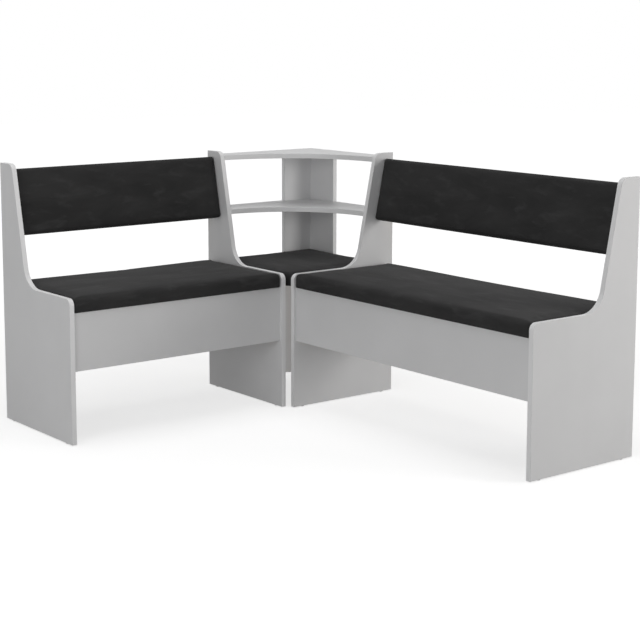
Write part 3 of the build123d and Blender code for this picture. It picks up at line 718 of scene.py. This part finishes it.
def make_staples(name, place, rests=()):
    """Crowns along the four sides of a pad, left out where rests gives spans across it."""
    reach = place.size / 2 - CORNER_ROOM
    level = place.size / 2 - STAPLE_INSET
    long_rows = staple_rows(reach[0], level[1])
    end_rows = staple_rows(reach[1], level[0])
    clear = STAPLE_LENGTH / 2
    for low, high in rests:
        end_rows = end_rows[(end_rows[:, 0] < low - clear) | (end_rows[:, 0] > high + clear)]
    turned = crown[:, [1, 0, 2]] * (-1, 1, 1)
    straight = long_rows[:, None] + crown
    across = end_rows[:, None, [1, 0, 2]] + turned
    points = np.concatenate([straight, across])
    starts = range(0, len(points) * len(crown), len(crown))
    faces = [[start + corner for corner in face] for start in starts for face in crown_faces]
    add_piece(name, place, points.reshape(-1, 3), faces, zinc_finish)
    print(name, "has", len(points), "crowns")


# %% [markdown]
# ## The three seats
# A seat's size and place come from the box of its cover solid. The straight seats are lids, so their
# pads ride on the lids' bodies. The corner seat is fixed and has one well-rounded corner, at the front.
# Corner radii are given in the order of CORNERS.

# %% Seats
SEAT_FORM = PadForm(edge=0.0455, rim=0.014, crown=0.0022, room=0.0012, lift=0.004)
CORNER_SEAT_FORM = SEAT_FORM._replace(room=0.0006)
PAD_CORNERS = [0.009] * 4
CORNER_SEAT_CORNERS = [0.016, 0.060, 0.016, 0.016]


def seat_place(side, along, body):
    """Place of a seat, from the box of its cover."""
    low, high = (np.array(corner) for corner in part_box(f"{side}_seat_cover"))
    axes = pad_axes(along, (0, 0, 1))
    centre = np.append((low[:2] + high[:2]) / 2, low[2])
    return Place(body, centre, axes, np.abs(axes[:2] @ (high - low)))


def span_across(place, node):
    """From where to where a board lies across a pad, measured from the pad's middle."""
    ends = [(np.array(corner) - place.centre) @ place.axes[1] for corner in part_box(node)]
    return min(ends), max(ends)


make_pad("corner_seat_pad", seat_place("corner", (1, 0, 0), "frame"), CORNER_SEAT_CORNERS, CORNER_SEAT_FORM)
for side, along in (("right", (1, 0, 0)), ("left", (0, 1, 0))):
    place = seat_place(side, along, f"{side}_lid")
    rests = [span_across(place, f"{side}_{board}") for board in ("apron", "rear_rail")]
    make_pad(f"{side}_seat_pad", place, PAD_CORNERS, SEAT_FORM)
    make_staples(f"{side}_seat_staples", place, rests)

# %% [markdown]
# ## The two backrests
# A backrest leans like the panels' slope, so its box doesn't give its place. That comes from the
# middle of its board: from there half a board and the cover's thickness lead back to the lower face.
# Its length is the cover's.

# %% Backrests
SLOPE_RISE = 0.371
SLOPE_RUN = 0.0765
LEAN = math.atan2(SLOPE_RUN, SLOPE_RISE)
BACK_WIDTH = 0.206
BACK_FORM = PadForm(edge=0.0355, rim=0.012, crown=0.0022, room=0.0002, lift=0.004)
BELOW_BOARD = 0.00075


def backrest_place(side, along, into_room):
    """Place of a backrest: its middle lies BELOW_BOARD lower on the slope than its board's middle."""
    outward = Vector(into_room) * math.cos(LEAN) + Vector((0, 0, 1)) * math.sin(LEAN)
    axes = pad_axes(along, outward)
    low, high = (np.array(corner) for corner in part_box(f"{side}_backrest_board"))
    centre = (low + high) / 2 - axes[2] * (COVER + BOARD / 2) - axes[1] * BELOW_BOARD
    low, high = (np.array(corner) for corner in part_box(f"{side}_backrest_cover"))
    length = abs(axes[0] @ (high - low))
    return Place("frame", centre, axes, np.array([length, BACK_WIDTH]))


for side, along, into_room in (("right", (1, 0, 0), (0, -1, 0)), ("left", (0, 1, 0), (1, 0, 0))):
    place = backrest_place(side, along, into_room)
    make_pad(f"{side}_backrest_pad", place, PAD_CORNERS, BACK_FORM)
    make_staples(f"{side}_backrest_staples", place)

# %% [markdown]
# ## Floor
# A pale floor runs up to a white surround. More lamp power would make it white, but would burn out
# the boards too. So part of the floor's white is its own glow, which only the camera and reflections
# see: the floor stays pale, lights nothing, and still takes the bench's shadow.

# %% Floor
FLOOR_REACH = 14.0
FLOOR_DROP = 0.0004
FLOOR_DARK = (0.59, 0.59, 0.59)
FLOOR_PALE = (0.60, 0.60, 0.60)
WHITE = (1, 1, 1, 1)
NEAR_GLOW = 0.66
FAR_GLOW = 0.90
GLOW_START = 1.4
GLOW_END = 4.0


def seen_directly(tree):
    """1 for what the camera sees straight, in a reflection or through glass, else 0."""
    path = add_node(tree, "ShaderNodeLightPath")
    seen = arithmetic(tree, "MAXIMUM", path.outputs["Is Camera Ray"], path.outputs["Is Glossy Ray"])
    return arithmetic(tree, "MAXIMUM", seen, path.outputs["Is Transmission Ray"])


def pale_floor():
    """Matt white whose glow grows from NEAR_GLOW to FAR_GLOW with the distance from the bench."""
    material, tree = new_finish("pale_floor", Roughness=0.9, Specular_IOR_Level=0.0, Emission_Color=WHITE)
    place = place_on(tree)
    colour = ramp(tree, noise(tree, place, scale=3.0), ((0.3, FLOOR_DARK), (0.7, FLOOR_PALE)))
    away = add_node(tree, "ShaderNodeVectorMath", operation="LENGTH")
    tree.links.new(place, away.inputs["Vector"])
    glow = span(tree, away.outputs["Value"], NEAR_GLOW, FAR_GLOW, GLOW_START, GLOW_END)
    strength = arithmetic(tree, "MULTIPLY", seen_directly(tree), glow)
    feed(tree, Base_Color=colour, Emission_Strength=strength)
    return material


floor_mesh = bpy.data.meshes.new("floor")
floor_points = [(FLOOR_REACH * side_x, FLOOR_REACH * side_y, -FLOOR_DROP) for side_x, side_y in CORNERS]
floor_mesh.from_pydata(floor_points, [], [(0, 1, 2, 3)])
floor_mesh.materials.append(pale_floor())
floor = bpy.data.objects.new("floor", floor_mesh)
scene.collection.objects.link(floor)
print("floor", 2 * FLOOR_REACH, "m wide")

# %% [markdown]
# ## Light
# The light is soft: a dim white surround, a large lamp overhead, a warmer one from the right behind
# the long bench, and two weak ones that fill the corner from the open side of the L. One strong lamp
# would be simpler, but would leave the corner dark and draw hard shadows.

# %% Surround light
AMBIENT = 0.235

world = bpy.data.worlds.new("surround")
scene.world = world
world.use_nodes = True
tree = world.node_tree
background = tree.nodes["Background"]
background.inputs["Color"].default_value = WHITE
tree.links.new(span(tree, seen_directly(tree), low=AMBIENT, high=1.0), background.inputs["Strength"])
print("surround light", AMBIENT)


# %% Lamps
NEUTRAL = (1, 1, 1)
WARM = (1, 0.985, 0.965)


def soft_lamp(name, place, aim, size, power, colour=NEUTRAL):
    """A square area lamp at a place, turned towards aim."""
    lamp = bpy.data.lights.new(name, "AREA")
    lamp.color = colour
    lamp.size = size
    lamp.energy = power
    lamp_object = bpy.data.objects.new(name, lamp)
    lamp_object.location = place
    lamp_object.rotation_mode = "QUATERNION"
    lamp_object.rotation_quaternion = (Vector(aim) - Vector(place)).to_track_quat("-Z", "Y")
    scene.collection.objects.link(lamp_object)
    print(name, power, "W")


soft_lamp("overhead", place=(-0.1, 0.0, 4.2), aim=(-0.1, 0.0, 0.3), size=3.0, power=44)
soft_lamp("right_key", place=(3.6, 2.6, 1.3), aim=(0.7, 0.3, 0.4), size=1.8, power=57, colour=WARM)
soft_lamp("front_fill", place=(-0.9, -2.0, 2.2), aim=(-0.6, -0.6, 0.7), size=1.0, power=2)
soft_lamp("room_fill", place=(1.2, -3.0, 1.1), aim=(-0.5, 0.4, 0.6), size=1.6, power=20)

# %% [markdown]
# ## Camera
# The camera has a long lens and looks slightly down at the open side of the L. A level camera with
# a large shift would keep upright edges upright, but would push the bench out of the frame when it is
# seen from other sides, so most of the shift is taken by the pitch.

# %% Camera
SENSOR = 36.0
LENS = 87.62
EYE = (3.6089, -2.7977, 1.230)
HEADING = math.radians(52.38)
PITCH = math.radians(8.14)
SHIFT = (0.0305, -0.113)

camera = bpy.data.cameras.new("camera")
camera.sensor_width = SENSOR
camera.lens = LENS
camera.shift_x, camera.shift_y = SHIFT
camera_object = bpy.data.objects.new("camera", camera)
camera_object.location = EYE
camera_object.rotation_euler = (math.pi / 2 - PITCH, 0, HEADING)
scene.collection.objects.link(camera_object)
scene.camera = camera_object
print("camera at", EYE, "with a lens of", LENS, "mm")
